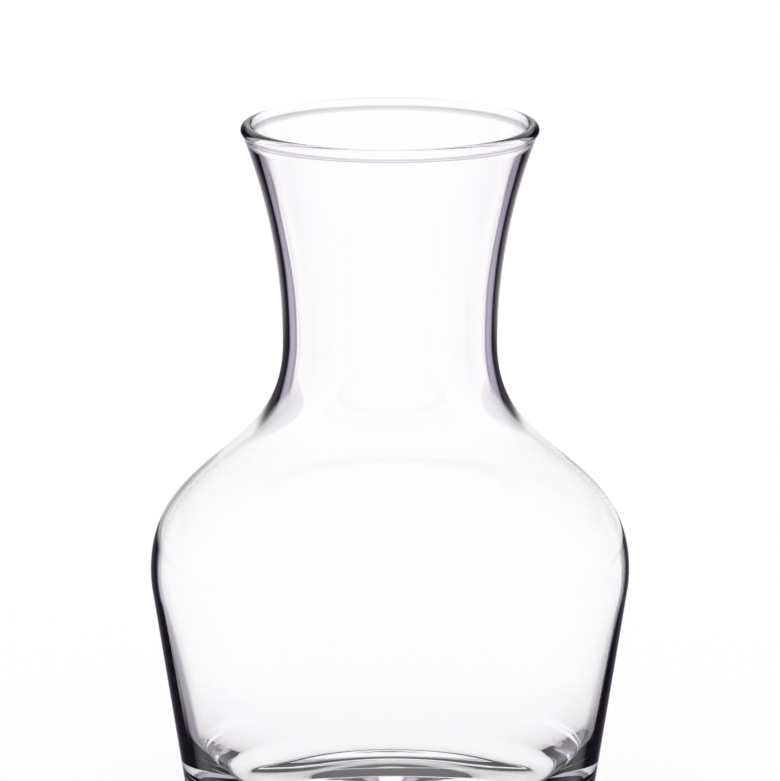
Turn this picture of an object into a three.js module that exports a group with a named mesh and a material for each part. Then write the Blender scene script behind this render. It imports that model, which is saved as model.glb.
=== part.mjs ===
// Half-litre wine carafe of clear glass, standing on its base at the origin, +Z up, in millimetres.
// The real carafe is one piece of blown glass. Its zones are kept as separate solids of revolution that
// meet face to face on level planes, from the table up: base, body wall, lower shoulder, upper shoulder,
// neck and lip bead.
import * as THREE from "three";

// Outside form, from the lip down to the table
const carafeHeight = 152;
const lipBeadDiameter = 2.6; // round fire-polished roll of the lip
const lipOverhang = 0.6; // how far the roll stands proud of the flare under it
const mouthDiameter = 60.5; // flare, right under the roll
const throatDiameter = 44.5; // narrowest place of the neck
const throatHeight = 105.9;
const shoulderDiameter = 72.8; // where the shoulder stops curving in and starts curving out
const shoulderHeight = 80.9;
const shoulderSlope = THREE.MathUtils.degToRad(50.3); // away from the vertical
const bellyDiameter = 100; // widest place
const bellyHeight = 57.5;
const baseDiameter = 82.7; // where the line of the tapered body reaches the table
const heelRounding = 6; // corner between the body and the table
const standingRingWidth = 5; // flat ring that touches the table
const puntDepth = 2; // shallow push-up inside the standing ring

// How long each curve keeps the direction of the place it leaves
const throatSweep = 11.6;
const shoulderSweep = 11.5;
const bellySweep = 10.8;
const bellyRounding = 26.2; // radius of the turn from the belly into the taper

// Glass thickness
const lipWall = 2;
const neckWall = 3.1; // at the throat
const shoulderWall = 1.1; // square to the slope
const bellyWall = 1.3;
const heelWall = 2.5; // at the seam of the base
const bendShare = 0.3; // how far down the tapered wall its inside bends
const floorThickness = 7.5;
const floorRounding = 18; // inside corner between the wall and the floor

// Fineness of the facets
const facetsAround = 48;
const tightCurveSteps = 8;
const gentleCurveSteps = 3;

// Level planes on which two zones meet; the others are at the throat, the shoulder and the belly
const lipSeam = carafeHeight - lipBeadDiameter;
const baseSeam = floorThickness + floorRounding;

// Radii of the outer and the inner surface
const outside = {
  mouth: mouthDiameter / 2,
  throat: throatDiameter / 2,
  shoulder: shoulderDiameter / 2,
  belly: bellyDiameter / 2,
};
const inside = {
  mouth: outside.mouth - lipWall,
  throat: outside.throat - neckWall,
  shoulder: outside.shoulder - shoulderWall / Math.cos(shoulderSlope),
  belly: outside.belly - bellyWall,
};

// Angle at which a straight line from an outside point touches a circle, counted anticlockwise or clockwise
// from the point's own direction
const anticlockwise = 1;
const clockwise = -1;
function touchAngle(circle, point, sense) {
  const away = point.clone().sub(circle.centre);
  return away.angle() + sense * Math.acos(circle.radius / away.length());
}

function pointOnCircle(circle, angle) {
  const spoke = new THREE.Vector2(circle.radius, 0);
  return spoke.rotateAround(new THREE.Vector2(), angle).add(circle.centre);
}

// The turn of the belly into the tapered wall, for the outer or the inner surface
function bellyTurn(surface) {
  const centre = new THREE.Vector2(surface.belly - bellyRounding, bellyHeight);
  return { centre, radius: bellyRounding };
}

// Both surfaces leave the turn at the angle at which the outer one starts its straight taper to the foot.
const outerTurn = bellyTurn(outside);
const innerTurn = bellyTurn(inside);
const foot = new THREE.Vector2(baseDiameter / 2, 0);
const turnEnd = touchAngle(outerTurn, foot, anticlockwise);
const taperTop = pointOnCircle(outerTurn, turnEnd);

function taperRadius(height) {
  return THREE.MathUtils.mapLinear(height, taperTop.y, foot.y, taperTop.x, foot.x);
}

outside.baseSeam = taperRadius(baseSeam);
inside.baseSeam = outside.baseSeam - heelWall;

// Inside, the wall sets off along the taper and bends in on its way down, so that the glass grows thicker.
const bendHeight = THREE.MathUtils.lerp(taperTop.y, baseSeam, bendShare);
const bend = new THREE.Vector2(taperRadius(bendHeight) - bellyWall, bendHeight);

// The flare is an arc that leaves the throat upright and reaches the mouth at the lip's seam.
function flareArc(path, surface, upwards) {
  const widening = surface.mouth - surface.throat;
  const rise = lipSeam - throatHeight;
  const radius = (rise ** 2 + widening ** 2) / (2 * widening);
  const top = Math.PI - Math.asin(rise / radius);
  const from = upwards ? Math.PI : top;
  const to = upwards ? top : Math.PI;
  path.absarc(surface.throat + radius, throatHeight, radius, from, to, upwards);
}

// Handle of the shoulder's two curves, along the slope
const slopeOut = shoulderSweep * Math.sin(shoulderSlope);
const slopeDown = shoulderSweep * Math.cos(shoulderSlope);

// From the shoulder up to the throat, or back down
function throatCurve(path, surface, upwards) {
  const handles = [
    new THREE.Vector2(surface.shoulder - slopeOut, shoulderHeight + slopeDown),
    new THREE.Vector2(surface.throat, throatHeight - throatSweep),
  ];
  const low = new THREE.Vector2(surface.shoulder, shoulderHeight);
  const high = new THREE.Vector2(surface.throat, throatHeight);
  curveBetween(path, low, handles, high, upwards);
}

// From the belly up to the shoulder, or back down
function bellyCurve(path, surface, upwards) {
  const handles = [
    new THREE.Vector2(surface.belly, bellyHeight + bellySweep),
    new THREE.Vector2(surface.shoulder + slopeOut, shoulderHeight - slopeDown),
  ];
  const low = new THREE.Vector2(surface.belly, bellyHeight);
  const high = new THREE.Vector2(surface.shoulder, shoulderHeight);
  curveBetween(path, low, handles, high, upwards);
}

function curveBetween(path, low, handles, high, upwards) {
  const [first, second] = upwards ? handles : [handles[1], handles[0]];
  const end = upwards ? high : low;
  path.bezierCurveTo(first.x, first.y, second.x, second.y, end.x, end.y);
}

// Outlines in the half-plane of radius and height. Each runs up the outside and down the inside.
function lipBeadOutline() {
  const radius = lipBeadDiameter / 2;
  const centre = new THREE.Vector2(outside.mouth + lipOverhang - radius, carafeHeight - radius);
  const roll = { centre, radius };
  const under = new THREE.Vector2(outside.mouth, lipSeam);
  const within = new THREE.Vector2(inside.mouth, lipSeam);
  const from = touchAngle(roll, under, anticlockwise);
  const to = touchAngle(roll, within, clockwise);
  const path = new THREE.Path();
  path.moveTo(within.x, within.y);
  path.lineTo(under.x, under.y);
  path.absarc(centre.x, centre.y, radius, from, to, false);
  path.closePath();
  return path;
}

function neckOutline() {
  const path = new THREE.Path();
  path.moveTo(inside.throat, throatHeight);
  path.lineTo(outside.throat, throatHeight);
  flareArc(path, outside, true);
  path.lineTo(inside.mouth, lipSeam);
  flareArc(path, inside, false);
  return path;
}

function upperShoulderOutline() {
  const path = new THREE.Path();
  path.moveTo(inside.shoulder, shoulderHeight);
  path.lineTo(outside.shoulder, shoulderHeight);
  throatCurve(path, outside, true);
  path.lineTo(inside.throat, throatHeight);
  throatCurve(path, inside, false);
  return path;
}

function lowerShoulderOutline() {
  const path = new THREE.Path();
  path.moveTo(inside.belly, bellyHeight);
  path.lineTo(outside.belly, bellyHeight);
  bellyCurve(path, outside, true);
  path.lineTo(inside.shoulder, shoulderHeight);
  bellyCurve(path, inside, false);
  return path;
}

function bodyWallOutline() {
  const path = new THREE.Path();
  path.moveTo(inside.baseSeam, baseSeam);
  path.lineTo(outside.baseSeam, baseSeam);
  path.absarc(outerTurn.centre.x, bellyHeight, bellyRounding, turnEnd, 0, false);
  path.lineTo(inside.belly, bellyHeight);
  path.absarc(innerTurn.centre.x, bellyHeight, bellyRounding, 0, turnEnd, true);
  path.quadraticCurveTo(bend.x, bend.y, inside.baseSeam, baseSeam);
  return path;
}

function baseOutline() {
  const heelTop = taperRadius(heelRounding);
  const ringOuter = foot.x - heelRounding;
  const ringInner = ringOuter - standingRingWidth;
  const floorCorner = THREE.MathUtils.mapLinear(floorThickness, bend.y, baseSeam, bend.x, inside.baseSeam);
  const path = new THREE.Path();
  path.moveTo(0, puntDepth);
  path.bezierCurveTo(ringInner / 2, puntDepth, ringInner / 2, 0, ringInner, 0);
  path.lineTo(ringOuter, 0);
  path.quadraticCurveTo(foot.x, 0, heelTop, heelRounding);
  path.lineTo(outside.baseSeam, baseSeam);
  path.lineTo(inside.baseSeam, baseSeam);
  path.quadraticCurveTo(floorCorner, floorThickness, floorCorner - floorRounding, floorThickness);
  path.lineTo(0, floorThickness);
  return path;
}

function clearGlass() {
  return new THREE.MeshStandardMaterial({
    color: 0xf3f0f5,
    roughness: 0.03,
    metalness: 0,
    transparent: true,
    opacity: 0.35,
  });
}

// A zone of the glass: its outline turned about the upright axis
function zone(name, outline, curveSteps) {
  const turned = new THREE.LatheGeometry(outline.getPoints(curveSteps), facetsAround);
  const mesh = new THREE.Mesh(turned, clearGlass());
  mesh.name = name;
  mesh.rotation.x = Math.PI / 2;
  return mesh;
}

const carafe = new THREE.Group();
carafe.add(
  zone("base", baseOutline(), tightCurveSteps),
  zone("body_wall", bodyWallOutline(), gentleCurveSteps),
  zone("lower_shoulder", lowerShoulderOutline(), tightCurveSteps),
  zone("upper_shoulder", upperShoulderOutline(), tightCurveSteps),
  zone("neck", neckOutline(), gentleCurveSteps),
  zone("lip_bead", lipBeadOutline(), tightCurveSteps),
);

export default carafe;
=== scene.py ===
"""Studio picture of a half-litre wine carafe: one piece of clear blown glass on a plain white table."""
from __future__ import annotations

import logging
import math
from dataclasses import dataclass
from enum import Enum
from typing import Any

import bmesh
import bpy
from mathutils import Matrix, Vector, noise
from mathutils.geometry import interpolate_bezier


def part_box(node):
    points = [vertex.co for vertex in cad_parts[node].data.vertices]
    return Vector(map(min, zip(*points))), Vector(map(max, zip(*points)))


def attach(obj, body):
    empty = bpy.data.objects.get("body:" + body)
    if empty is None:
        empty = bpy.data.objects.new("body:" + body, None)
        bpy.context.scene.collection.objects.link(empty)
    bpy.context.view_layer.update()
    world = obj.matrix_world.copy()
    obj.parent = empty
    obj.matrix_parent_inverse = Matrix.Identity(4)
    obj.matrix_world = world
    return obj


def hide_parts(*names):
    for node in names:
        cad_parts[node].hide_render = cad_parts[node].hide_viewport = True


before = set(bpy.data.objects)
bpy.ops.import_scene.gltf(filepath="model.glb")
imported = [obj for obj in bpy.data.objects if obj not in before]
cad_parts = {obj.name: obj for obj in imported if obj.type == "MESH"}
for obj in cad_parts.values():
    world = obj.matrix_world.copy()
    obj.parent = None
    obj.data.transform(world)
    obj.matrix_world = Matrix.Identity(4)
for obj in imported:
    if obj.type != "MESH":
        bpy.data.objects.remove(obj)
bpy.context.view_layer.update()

log = logging.getLogger("carafe")

MM = 0.001
MERGE_DISTANCE = 0.001 * MM
IMAGE_WIDTH = 780
BOUNCES = 32
BETWEEN_COUNTS = 0.5  # Light Path counts whole events, so a limit lies halfway between two counts
WHITE = "#ffffff"

Outline = list[Vector]
Stops = tuple[tuple[float, str], ...]


class Surface(Enum):
    """The two surfaces of the glass wall."""

    OUTSIDE = "outside"
    INSIDE = "inside"


class Turn(Enum):
    """On which side of the line from a circle's centre a tangent touches the circle."""

    ANTICLOCKWISE = 1
    CLOCKWISE = -1


def linear(colour: str) -> tuple[float, float, float, float]:
    """Turns an sRGB colour into the linear one that shaders work in.

    Args:
        colour: six hex digits after a hash mark.

    Returns:
        Red, green, blue and an alpha of 1.
    """
    shares = [int(colour[place:place + 2], 16) / 255 for place in (1, 3, 5)]
    red, green, blue = (s / 12.92 if s <= 0.04045 else ((s + 0.055) / 1.055) ** 2.4 for s in shares)
    return red, green, blue, 1.0


def add(tree: bpy.types.NodeTree, kind: str, *inputs: Any, **settings: Any) -> bpy.types.Node:
    """Adds a node to a tree, sets it up and links it.

    Args:
        tree: the node tree.
        kind: the node's type, without the words that all of them start with.
        inputs: for each input in turn a value, an output to link, or a node whose first output to link.
        settings: values of the node's own properties.

    Returns:
        The new node.
    """
    node = tree.nodes.new(f"ShaderNode{kind}")
    for name, value in settings.items():
        setattr(node, name, value)
    for socket, value in zip(node.inputs, inputs):
        source = value.outputs[0] if isinstance(value, bpy.types.Node) else value
        if isinstance(source, bpy.types.NodeSocket):
            tree.links.new(source, socket)
        else:
            socket.default_value = source
    return node


def on_circle(centre: Vector, radius: float, angle: float) -> Vector:
    """Gives the point of a circle at an angle from the radial direction."""
    return centre + radius * Vector((math.cos(angle), math.sin(angle)))


def arc(centre: Vector, radius: float, start: float, end: float, steps: int) -> Outline:
    """Draws an arc.

    Args:
        centre: centre of the circle.
        radius: its radius.
        start: angle of the first point.
        end: angle of the last point.
        steps: number of stretches.

    Returns:
        The points along the arc, with both ends.
    """
    return [on_circle(centre, radius, start + (end - start) * step / steps) for step in range(steps + 1)]


def tangent_angle(centre: Vector, radius: float, point: Vector, turn: Turn) -> float:
    """Finds where a straight line from a point outside a circle touches it.

    Args:
        centre: centre of the circle.
        radius: its radius.
        point: the point that the line starts at.
        turn: which of the two tangents.

    Returns:
        The angle of the touching point on the circle.
    """
    away = point - centre
    return math.atan2(away.y, away.x) + turn.value * math.acos(radius / away.length)


def bent(start: Vector, corner: Vector, end: Vector, steps: int) -> Outline:
    """Draws a parabola that leaves its start and reaches its end along the sides of a corner.

    Args:
        start: first point.
        corner: where the two sides would meet.
        end: last point.
        steps: number of stretches.

    Returns:
        The points along the curve, with both ends.
    """
    return interpolate_bezier(start, start.lerp(corner, 2 / 3), end.lerp(corner, 2 / 3), end, steps + 1)


@dataclass(frozen=True)
class BlownGlass:
    """Clear soda-lime glass, blown in a mould and fire-polished: a smooth, faintly wavy skin."""

    tint: str = "#fffeff"
    ior: float = 1.5
    facing_shine: float = 0.1

    def material(self) -> bpy.types.Material:
        """Builds the material.

        Returns:
            The glass, as one Principled shader that bends and mirrors light.
        """
        # Clear polished glass gives the eye no colour of its own, only a bent view and dark edges.
        glass = bpy.data.materials.new("clear_blown_glass")
        glass.use_nodes = True
        tree = glass.node_tree
        shader = tree.nodes["Principled BSDF"]
        shader.inputs["Base Color"].default_value = linear(self.tint)
        shader.inputs["Roughness"].default_value = 0.0
        shader.inputs["IOR"].default_value = self.ior
        shader.inputs["Transmission Weight"].default_value = 1.0
        shader.inputs["Specular Tint"].default_value = (self.facing_shine,) * 3 + (1.0,)
        return glass


@dataclass
class Carafe:
    """The glass vessel, as one outline turned about the upright axis.

    Heights and the main radii come from the frame. The rest are the maker's sizes.
    """

    height: float
    lip_radius: float
    lip_seam: float
    mouth_radius: float
    throat_height: float
    shoulder_height: float
    shoulder_radius: float
    belly_height: float
    belly_radius: float
    base_seam: float
    throat_radius: float = 22.25 * MM
    foot_radius: float = 41.35 * MM
    shoulder_slope: float = math.radians(50.3)
    throat_sweep: float = 11.6 * MM
    shoulder_sweep: float = 11.5 * MM
    belly_sweep: float = 10.8 * MM
    belly_rounding: float = 26.2 * MM
    heel_rounding: float = 6 * MM
    ring_width: float = 5 * MM
    punt_depth: float = 2 * MM
    lip_wall: float = 2 * MM
    neck_wall: float = 3.1 * MM
    shoulder_wall: float = 1.1 * MM
    belly_wall: float = 1.3 * MM
    heel_wall: float = 2.5 * MM
    bend_share: float = 0.3
    floor_thickness: float = 7.5 * MM
    bore_drift: float = 0.52 * MM
    bore_wave: float = 0.05 * MM
    wave_width: float = 30 * MM
    drift_reach: float = 119 * MM
    curve_steps: int = 28
    roll_steps: int = 20
    steps_around: int = 256

    @classmethod
    def from_frame(cls) -> Carafe:
        """Takes the heights and the main radii from the boxes of the zones of the glass.

        Returns:
            The carafe, with the maker's sizes for the rest.
        """
        tops = {node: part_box(node)[1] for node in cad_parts}
        return cls(
            height=tops["lip_bead"].z,
            lip_radius=tops["lip_bead"].x,
            lip_seam=tops["neck"].z,
            mouth_radius=tops["neck"].x,
            throat_height=tops["upper_shoulder"].z,
            shoulder_height=tops["lower_shoulder"].z,
            shoulder_radius=tops["upper_shoulder"].x,
            belly_height=tops["body_wall"].z,
            belly_radius=tops["body_wall"].x,
            base_seam=tops["base"].z,
        )

    def radii(self, surface: Surface) -> dict[str, float]:
        """Gives the radius of a surface at the mouth, throat, shoulder and belly.

        Args:
            surface: which surface of the wall.

        Returns:
            The radius for each place.
        """
        walls = {
            "mouth": self.lip_wall,
            "throat": self.neck_wall,
            "shoulder": self.shoulder_wall / math.cos(self.shoulder_slope),
            "belly": self.belly_wall,
        }
        share = 1 if surface is Surface.INSIDE else 0
        return {place: getattr(self, f"{place}_radius") - share * wall for place, wall in walls.items()}

    def flare(self, surface: Surface) -> Outline:
        """Draws the neck, an arc that leaves the throat upright and reaches the mouth.

        Args:
            surface: which surface of the wall.

        Returns:
            The points from the throat up.
        """
        radii = self.radii(surface)
        widening = radii["mouth"] - radii["throat"]
        rise = self.lip_seam - self.throat_height
        radius = (rise ** 2 + widening ** 2) / (2 * widening)
        centre = Vector((radii["throat"] + radius, self.throat_height))
        return arc(centre, radius, math.pi, math.pi - math.asin(rise / radius), self.curve_steps)

    def shoulder(self, surface: Surface) -> Outline:
        """Draws the double curve of the shoulder.

        Args:
            surface: which surface of the wall.

        Returns:
            The points from the belly up to the throat.
        """
        radii = self.radii(surface)
        slope = self.shoulder_slope
        along = self.shoulder_sweep * Vector((math.sin(slope), -math.cos(slope)))
        belly = Vector((radii["belly"], self.belly_height))
        middle = Vector((radii["shoulder"], self.shoulder_height))
        throat = Vector((radii["throat"], self.throat_height))
        above_belly = belly + Vector((0, self.belly_sweep))
        below_throat = throat - Vector((0, self.throat_sweep))
        lower = interpolate_bezier(belly, above_belly, middle + along, middle, self.curve_steps + 1)
        upper = interpolate_bezier(middle, middle - along, below_throat, throat, self.curve_steps + 1)
        return lower + upper[1:]

    def belly_turn(self, surface: Surface) -> Outline:
        """Draws the turn from the tapered wall into the belly, which is alike on both surfaces.

        Args:
            surface: which surface of the wall.

        Returns:
            The points from the end of the taper up to the belly.
        """
        foot = Vector((self.foot_radius, 0))
        outer = Vector((self.belly_radius - self.belly_rounding, self.belly_height))
        start = tangent_angle(outer, self.belly_rounding, foot, Turn.ANTICLOCKWISE)
        centre = Vector((self.radii(surface)["belly"] - self.belly_rounding, self.belly_height))
        return arc(centre, self.belly_rounding, start, math.tau * round(start / math.tau), self.curve_steps)

    def lip(self) -> Outline:
        """Draws the rolled lip.

        Returns:
            The points from under the roll, over it and into the mouth.
        """
        radius = (self.height - self.lip_seam) / 2
        centre = Vector((self.lip_radius - radius, self.height - radius))
        under = Vector((self.mouth_radius, self.lip_seam))
        within = Vector((self.radii(Surface.INSIDE)["mouth"], self.lip_seam))
        start = tangent_angle(centre, radius, under, Turn.ANTICLOCKWISE)
        end = tangent_angle(centre, radius, within, Turn.CLOCKWISE)
        if end < start:
            end += math.tau
        return arc(centre, radius, start, end, self.roll_steps)

    def outside(self) -> Outline:
        """Draws the outer surface.

        Returns:
            The points of radius and height from the middle of the push-up, up the outside and over the lip.
        """
        foot = Vector((self.foot_radius, 0))
        turn = self.belly_turn(Surface.OUTSIDE)
        taper = (turn[0].x - foot.x) / turn[0].y
        ring_outer = foot.x - self.heel_rounding
        ring_edge = Vector((ring_outer - self.ring_width, 0))
        punt_top = Vector((0, self.punt_depth))
        halfway = ring_edge / 2
        punt = interpolate_bezier(punt_top, punt_top + halfway, halfway, ring_edge, self.curve_steps + 1)
        heel_top = Vector((foot.x + taper * self.heel_rounding, self.heel_rounding))
        heel = bent(Vector((ring_outer, 0)), foot, heel_top, self.roll_steps)
        upper = self.shoulder(Surface.OUTSIDE)[1:] + self.flare(Surface.OUTSIDE)[1:]
        return punt + heel + turn + upper + self.lip()

    def inside(self) -> Outline:
        """Draws the inner surface.

        Returns:
            The points of radius and height from under the lip down to the middle of the floor.
        """
        foot = Vector((self.foot_radius, 0))
        outer = self.belly_turn(Surface.OUTSIDE)[0]
        seam = foot.lerp(outer, self.base_seam / outer.y) - Vector((self.heel_wall, 0))
        turn = self.belly_turn(Surface.INSIDE)
        drop = self.bend_share * (turn[0].y - seam.y)
        middle = turn[0] + (foot - outer) * drop / outer.y
        wall = bent(turn[0], middle, seam, self.curve_steps)
        depth = self.base_seam - self.floor_thickness
        corner = seam + (seam - middle) * depth / (middle.y - seam.y)
        rounding = bent(seam, corner, corner - Vector((depth, 0)), self.curve_steps)
        upper = self.shoulder(Surface.INSIDE)[1:] + self.flare(Surface.INSIDE)[1:]
        return (turn + upper)[::-1] + wall[1:] + rounding[1:] + [Vector((0, self.floor_thickness))]

    def build(self, finish: BlownGlass) -> bpy.types.Object:
        """Turns the outline about the axis, makes the bore as uneven as blown glass, and dresses it.

        Args:
            finish: the glass.

        Returns:
            The carafe.
        """
        form = bmesh.new()
        unevenness = form.verts.layers.float.new("unevenness")
        corners = [form.verts.new((point.x, 0, point.y)) for point in self.outside()]
        for point in self.inside():
            corners.append(form.verts.new((point.x, 0, point.y)))
            corners[-1][unevenness] = min(1, (self.lip_seam - point.y) / self.drift_reach)
        section = corners + [form.edges.new(pair) for pair in zip(corners, corners[1:])]
        bmesh.ops.spin(form, geom=section, cent=(0, 0, 0), axis=(0, 0, 1), angle=math.tau,
                       steps=self.steps_around, use_merge=True)
        bmesh.ops.remove_doubles(form, verts=form.verts, dist=MERGE_DISTANCE)
        for vert in form.verts:
            wave = self.bore_wave * noise.noise(vert.co / self.wave_width)
            vert.co.xy += vert[unevenness] * (Vector((self.bore_drift, 0)) + wave * vert.co.xy.normalized())
        bmesh.ops.recalc_face_normals(form, faces=form.faces)
        for face in form.faces:
            face.smooth = True
        mesh = bpy.data.meshes.new("glass_carafe")
        form.to_mesh(mesh)
        form.free()
        mesh.materials.append(finish.material())
        piece = bpy.data.objects.new("glass_carafe", mesh)
        bpy.context.scene.collection.objects.link(piece)
        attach(piece, "root")
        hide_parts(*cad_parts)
        return piece


def clear_path(tree: bpy.types.NodeTree) -> bpy.types.Node:
    """Tells light that came straight, or by the glass's far wall, from light mirrored by its near wall.

    Args:
        tree: the node tree of the surroundings, the table or a card.

    Returns:
        A node that gives 1 for the former and 0 for the latter.
    """
    path = add(tree, "LightPath").outputs
    never = add(tree, "Math", path["Glossy Depth"], BETWEEN_COUNTS, operation="LESS_THAN")
    once = add(tree, "Math", path["Glossy Depth"], 1 + BETWEEN_COUNTS, operation="LESS_THAN")
    deep = add(tree, "Math", path["Transmission Depth"], 2 + BETWEEN_COUNTS, operation="GREATER_THAN")
    far = add(tree, "Math", once, deep, operation="MULTIPLY")
    return add(tree, "Math", never, far, operation="MAXIMUM")


@dataclass(frozen=True)
class WhiteCard:
    """White studio card that only mirrored light sees. It fades out towards its edges.

    The skin is the outer surface of the glass: its glow is for light that was never inside the glass.
    """

    bottom: float
    full: float
    top: float
    fade: float = 4 * MM
    most_mirrorings: int = 4
    tone: str = WHITE
    skin_glow: float = 1.0
    skin_only: bool = False
    behind: tuple[float, float] | None = None

    def material(self) -> bpy.types.Material:
        """Builds the card.

        Returns:
            The card, which all light but the mirrored passes through.
        """
        # Matt card gives the eye a plain white with soft ends, here as a highlight along the glass's edges.
        card = bpy.data.materials.new("white_card")
        card.use_nodes = True
        tree = card.node_tree
        tree.nodes.clear()
        path = add(tree, "LightPath").outputs
        spot = add(tree, "SeparateXYZ", add(tree, "TexCoord").outputs["Object"]).outputs
        upper_edge = (self.top, self.top - self.fade)
        lower = add(tree, "MapRange", spot["Z"], self.bottom, self.full, interpolation_type="SMOOTHSTEP")
        upper = add(tree, "MapRange", spot["Z"], *upper_edge, interpolation_type="SMOOTHSTEP")
        here = add(tree, "Math", lower, upper, operation="MULTIPLY")
        if self.behind:
            back = add(tree, "MapRange", spot["Y"], *self.behind)
            here = add(tree, "Math", here, back, operation="MULTIPLY")
        limit = self.most_mirrorings + BETWEEN_COUNTS
        few = add(tree, "Math", path["Glossy Depth"], limit, operation="LESS_THAN")
        clear = add(tree, "Math", few, clear_path(tree), operation="MINIMUM")
        mirrored = add(tree, "Math", few, clear, operation="SUBTRACT")
        share = add(tree, "Math", here, mirrored, operation="MULTIPLY")
        within = path["Transmission Depth"]
        if self.skin_only:
            skin = add(tree, "Math", within, BETWEEN_COUNTS, operation="LESS_THAN")
            share = add(tree, "Math", share, skin, operation="MULTIPLY")
        strength = add(tree, "MapRange", within, 0, 1, self.skin_glow, 1)
        white = add(tree, "Emission", linear(self.tone), strength)
        shown = add(tree, "MixShader", share, add(tree, "BsdfTransparent"), white)
        add(tree, "OutputMaterial", shown)
        return card


@dataclass
class WhiteStrip:
    """A band of white card round the axis, outside the glass."""

    name: str
    line: Outline
    card: WhiteCard
    start: float = 0.0
    sweep: float = math.tau
    steps_around: int = 128

    def build(self) -> bpy.types.Object:
        """Turns the line about the axis.

        Returns:
            The strip.
        """
        form = bmesh.new()
        across = Vector((math.cos(self.start), math.sin(self.start)))
        corners = [form.verts.new((*(point.x * across), point.y)) for point in self.line]
        section = corners + [form.edges.new(pair) for pair in zip(corners, corners[1:])]
        bmesh.ops.spin(form, geom=section, cent=(0, 0, 0), axis=(0, 0, 1), angle=self.sweep,
                       steps=self.steps_around, use_merge=self.sweep == math.tau)
        mesh = bpy.data.meshes.new(self.name)
        form.to_mesh(mesh)
        form.free()
        mesh.materials.append(self.card.material())
        strip = bpy.data.objects.new(self.name, mesh)
        strip.visible_camera = False
        strip.visible_shadow = False
        bpy.context.scene.collection.objects.link(strip)
        return strip


@dataclass(frozen=True)
class WhitePaper:
    """Matt white paper of the table top, which runs out into the white surroundings."""

    shading: float = 0.2
    shade_start: float = 250 * MM
    shade_end: float = 600 * MM

    def material(self) -> bpy.types.Material:
        """Builds the paper.

        Returns:
            The paper, which mirrored light passes through.
        """
        # Matt paper gives the eye an even white on which the carafe leaves a faint shadow.
        paper = bpy.data.materials.new("white_paper")
        paper.use_nodes = True
        tree = paper.node_tree
        tree.nodes.clear()
        reach = (self.shade_start, self.shade_end)
        place = add(tree, "TexCoord").outputs["Object"]
        distance = add(tree, "VectorMath", place, operation="LENGTH").outputs["Value"]
        far = add(tree, "MapRange", distance, *reach, interpolation_type="SMOOTHSTEP")
        shaded = add(tree, "BsdfDiffuse", (self.shading,) * 3 + (1,))
        glow = add(tree, "Emission", linear(WHITE), 1 - self.shading)
        near = add(tree, "AddShader", shaded, glow)
        top = add(tree, "MixShader", far, near, add(tree, "Emission"))
        shown = add(tree, "MixShader", clear_path(tree), add(tree, "BsdfTransparent"), top)
        add(tree, "OutputMaterial", shown)
        return paper


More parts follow.
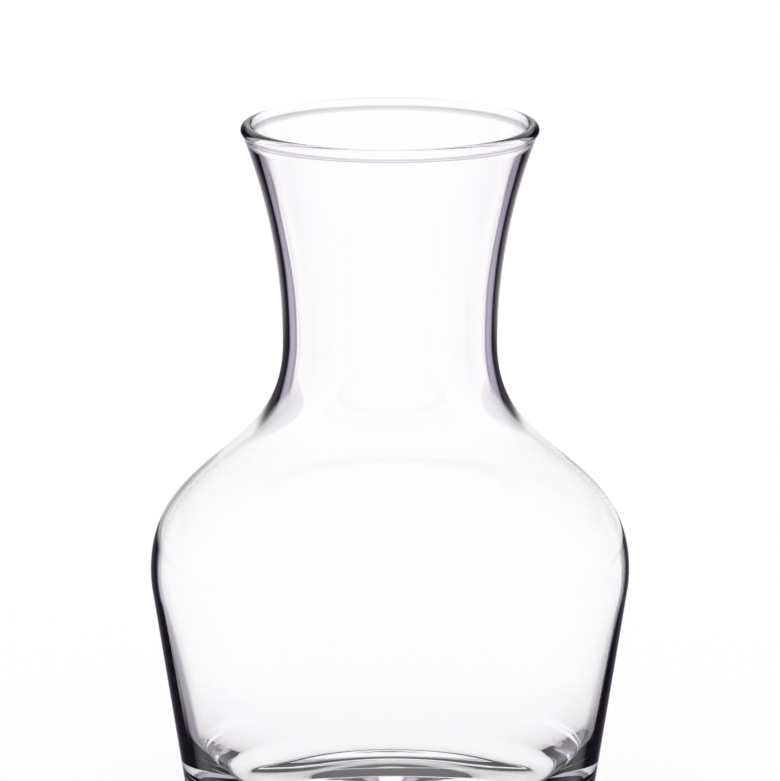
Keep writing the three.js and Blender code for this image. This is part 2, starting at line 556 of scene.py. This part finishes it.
@dataclass
class Studio:
    """White table and white surroundings, with a dark room that only mirrored light shows.

    The room has three dark cards, a third of a turn apart. Its colours are given by the degrees from a
    card's middle. The limits of steep, low, high and ceiling are sines of the angle above the level.
    """

    table_radius: float = 3000 * MM
    table_drop: float = 0.2 * MM
    table_sides: int = 128
    black: str = "#141117"
    dusk: str = "#cbc7cf"
    card: Stops = ((23.5, "#1a161d"), (28.5, "#b9b1c2"), (37, "#b9b1c2"), (43, "#8a8295"), (47, WHITE))
    low_card: Stops = ((14, "#5a5160"), (20, "#ded9e4"))
    skin: Stops = ((3, WHITE), (12, "#6a6074"), (24, "#2c2731"), (42, "#241f29"), (54, WHITE))
    card_reach: float = 60.0
    steep: tuple[float, float] = (-0.3, -0.45)
    steep_turn: float = math.radians(9)
    low: tuple[float, float] = (-0.46, -0.54)
    high: tuple[float, float] = (0.2, 0.35)
    ceiling: tuple[float, float] = (-0.14, 0.14)
    most_mirrorings: int = 4
    strip_shift: tuple[float, float] = (2.6 * MM, 3.1 * MM)
    strip_bottom: float = 65 * MM
    strip_full: float = 79 * MM
    strip_top: float = 93.8 * MM
    strip_glow: float = 0.8
    ring_radius: float = 80 * MM
    ring_bottom: float = 57.5 * MM
    ring_full: float = 61 * MM
    ring_top: float = 83 * MM
    neck_bottom: float = 86 * MM
    neck_full: float = 100 * MM
    neck_top: float = 138 * MM
    neck_behind: tuple[float, float] = (48.5 * MM, 72.5 * MM)
    neck_tone: str = "#f2eaf6"
    side_bottom: float = 2 * MM
    side_full: float = 16 * MM
    side_start: float = math.radians(159)
    side_sweep: float = math.radians(222)

    def room(self, tree: bpy.types.NodeTree, axes: bpy.types.bpy_prop_collection) -> bpy.types.Node:
        """Makes the dark room, with white above it for light that was mirrored once.

        Args:
            tree: the node tree of the surroundings.
            axes: the three parts of the direction.

        Returns:
            A node that gives the room's colour.
        """
        path = add(tree, "LightPath").outputs
        reach = math.radians(self.card_reach)
        around = add(tree, "Math", axes["X"], axes["Y"], operation="ARCTAN2")
        away = add(tree, "Math", around, reach, operation="PINGPONG")
        turn = (*self.steep, 0, self.steep_turn)
        steep = add(tree, "MapRange", axes["Z"], *turn, interpolation_type="SMOOTHSTEP")
        turned = add(tree, "Math", away, steep, operation="ADD")
        shades = []
        for angle, stops in ((turned, self.card), (away, self.low_card), (away, self.skin)):
            shade = add(tree, "ValToRGB", add(tree, "Math", angle, reach, operation="DIVIDE"))
            points = shade.color_ramp.elements
            for degrees, colour in stops:
                points.new(degrees / self.card_reach).color = linear(colour)
            points.remove(points[0])
            points.remove(points[-1])
            shades.append(shade)
        card, low_card, skin = shades
        low = add(tree, "MapRange", axes["Z"], *self.low, interpolation_type="SMOOTHSTEP")
        walls = add(tree, "MixRGB", low, card, low_card)
        inner = add(tree, "Math", path["Transmission Depth"], BETWEEN_COUNTS, operation="GREATER_THAN")
        sides = add(tree, "MixRGB", inner, skin, walls)
        high = add(tree, "MapRange", axes["Z"], *self.high, interpolation_type="SMOOTHSTEP")
        once = add(tree, "Math", path["Glossy Depth"], 1 + BETWEEN_COUNTS, operation="LESS_THAN")
        upward = add(tree, "Math", high, once, operation="MULTIPLY")
        lit = add(tree, "MixRGB", upward, sides, linear(WHITE))
        limit = self.most_mirrorings + BETWEEN_COUNTS
        trapped = add(tree, "Math", path["Glossy Depth"], limit, operation="GREATER_THAN")
        return add(tree, "MixRGB", trapped, lit, linear(self.black))

    def backdrop(self, tree: bpy.types.NodeTree, axes: bpy.types.bpy_prop_collection) -> bpy.types.Node:
        """Makes the white backdrop, with a dim ceiling for light that the glass bent but didn't mirror.

        Args:
            tree: the node tree of the surroundings.
            axes: the three parts of the direction.

        Returns:
            A node that gives the backdrop's colour.
        """
        path = add(tree, "LightPath").outputs
        above = add(tree, "MapRange", axes["Z"], *self.ceiling, interpolation_type="SMOOTHSTEP")
        returns = add(tree, "Math", path["Glossy Depth"], path["Diffuse Depth"], operation="ADD")
        unmirrored = add(tree, "Math", returns, BETWEEN_COUNTS, operation="LESS_THAN")
        inner = add(tree, "Math", path["Transmission Depth"], BETWEEN_COUNTS, operation="GREATER_THAN")
        refracted = add(tree, "Math", inner, unmirrored, operation="MULTIPLY")
        share = add(tree, "Math", above, refracted, operation="MULTIPLY")
        return add(tree, "MixRGB", share, linear(WHITE), linear(self.dusk))

    def light(self) -> None:
        """Lights the scene by its surroundings: a room for mirrored light, a backdrop for the rest."""
        world = bpy.data.worlds.new("studio")
        world.use_nodes = True
        tree = world.node_tree
        direction = add(tree, "TexCoord").outputs["Generated"]
        axes = add(tree, "SeparateXYZ", direction).outputs
        seen = add(tree, "MixRGB", clear_path(tree), self.room(tree, axes), self.backdrop(tree, axes))
        tree.links.new(seen.outputs[0], tree.nodes["Background"].inputs["Color"])
        bpy.context.scene.world = world

    def upright(self, bottom: float, top: float) -> Outline:
        """Draws the upright line of a ring, between two heights."""
        return [Vector((self.ring_radius, height)) for height in (bottom, top)]

    def strips(self, shoulder: Outline) -> list[bpy.types.Object]:
        """Puts a white strip round the shoulder and, further out, white rings round the neck and the body.

        Args:
            shoulder: outline of the glass from the belly up to the throat.

        Returns:
            The strips.
        """
        line = [point + Vector(self.strip_shift) for point in shoulder]
        line = [point for point in line if point.y < self.strip_top]
        neck = WhiteCard(self.neck_bottom, self.neck_full, self.neck_top, tone=self.neck_tone,
                         skin_only=True, behind=self.neck_behind)
        collar = WhiteCard(self.strip_bottom, self.strip_full, self.strip_top, skin_glow=self.strip_glow)
        belly = WhiteCard(self.ring_bottom, self.ring_full, self.ring_top)
        side = WhiteCard(self.side_bottom, self.side_full, self.ring_full, most_mirrorings=1)
        bands = [
            WhiteStrip("neck_ring", self.upright(self.neck_bottom, self.neck_top), neck),
            WhiteStrip("shoulder_strip", line, collar),
            WhiteStrip("belly_ring", self.upright(self.ring_bottom, self.ring_top), belly),
            WhiteStrip("side_ring", self.upright(self.side_bottom, self.ring_full), side,
                       start=self.side_start, sweep=self.side_sweep),
        ]
        return [band.build() for band in bands]

    def table(self, finish: WhitePaper) -> bpy.types.Object:
        """Makes the table.

        Args:
            finish: the paper on it.

        Returns:
            A disc just under the carafe.
        """
        form = bmesh.new()
        bmesh.ops.create_circle(form, cap_ends=True, radius=self.table_radius, segments=self.table_sides)
        bmesh.ops.translate(form, verts=form.verts, vec=(0, 0, -self.table_drop))
        mesh = bpy.data.meshes.new("table")
        form.to_mesh(mesh)
        form.free()
        mesh.materials.append(finish.material())
        table = bpy.data.objects.new("table", mesh)
        bpy.context.scene.collection.objects.link(table)
        return table


@dataclass(frozen=True)
class Viewpoint:
    """The camera, at the photograph's viewing angle."""

    aim_height: float = 95.52 * MM
    distance: float = 1400 * MM
    elevation: float = math.radians(12.784)
    focal_pixels: float = 6737.4
    sensor_width: float = 36.0

    def set_up(self) -> bpy.types.Object:
        """Makes the camera.

        Returns:
            The scene's camera.
        """
        lens = bpy.data.cameras.new("camera")
        lens.sensor_fit = "HORIZONTAL"
        lens.sensor_width = self.sensor_width
        lens.lens = self.sensor_width * self.focal_pixels / IMAGE_WIDTH
        camera = bpy.data.objects.new("camera", lens)
        camera.location = (0, -self.distance * math.cos(self.elevation),
                           self.aim_height + self.distance * math.sin(self.elevation))
        camera.rotation_euler = (math.pi / 2 - self.elevation, 0, 0)
        bpy.context.scene.collection.objects.link(camera)
        bpy.context.scene.camera = camera
        return camera


def main() -> None:
    """Builds the studio and the carafe, and reports each piece with its number of faces."""
    logging.basicConfig(level=logging.INFO, format="%(message)s")
    scene = bpy.context.scene
    scene.view_settings.view_transform = "Standard"
    scene.cycles.max_bounces = BOUNCES
    scene.cycles.transmission_bounces = BOUNCES
    scene.cycles.glossy_bounces = BOUNCES
    Viewpoint().set_up()
    studio = Studio()
    studio.light()
    carafe = Carafe.from_frame()
    table = studio.table(WhitePaper())
    strips = studio.strips(carafe.shoulder(Surface.OUTSIDE))
    glass = carafe.build(BlownGlass())
    for piece in (table, *strips, glass):
        log.info("%s: %d faces", piece.name, len(piece.data.polygons))


if __name__ == "__main__":
    main()
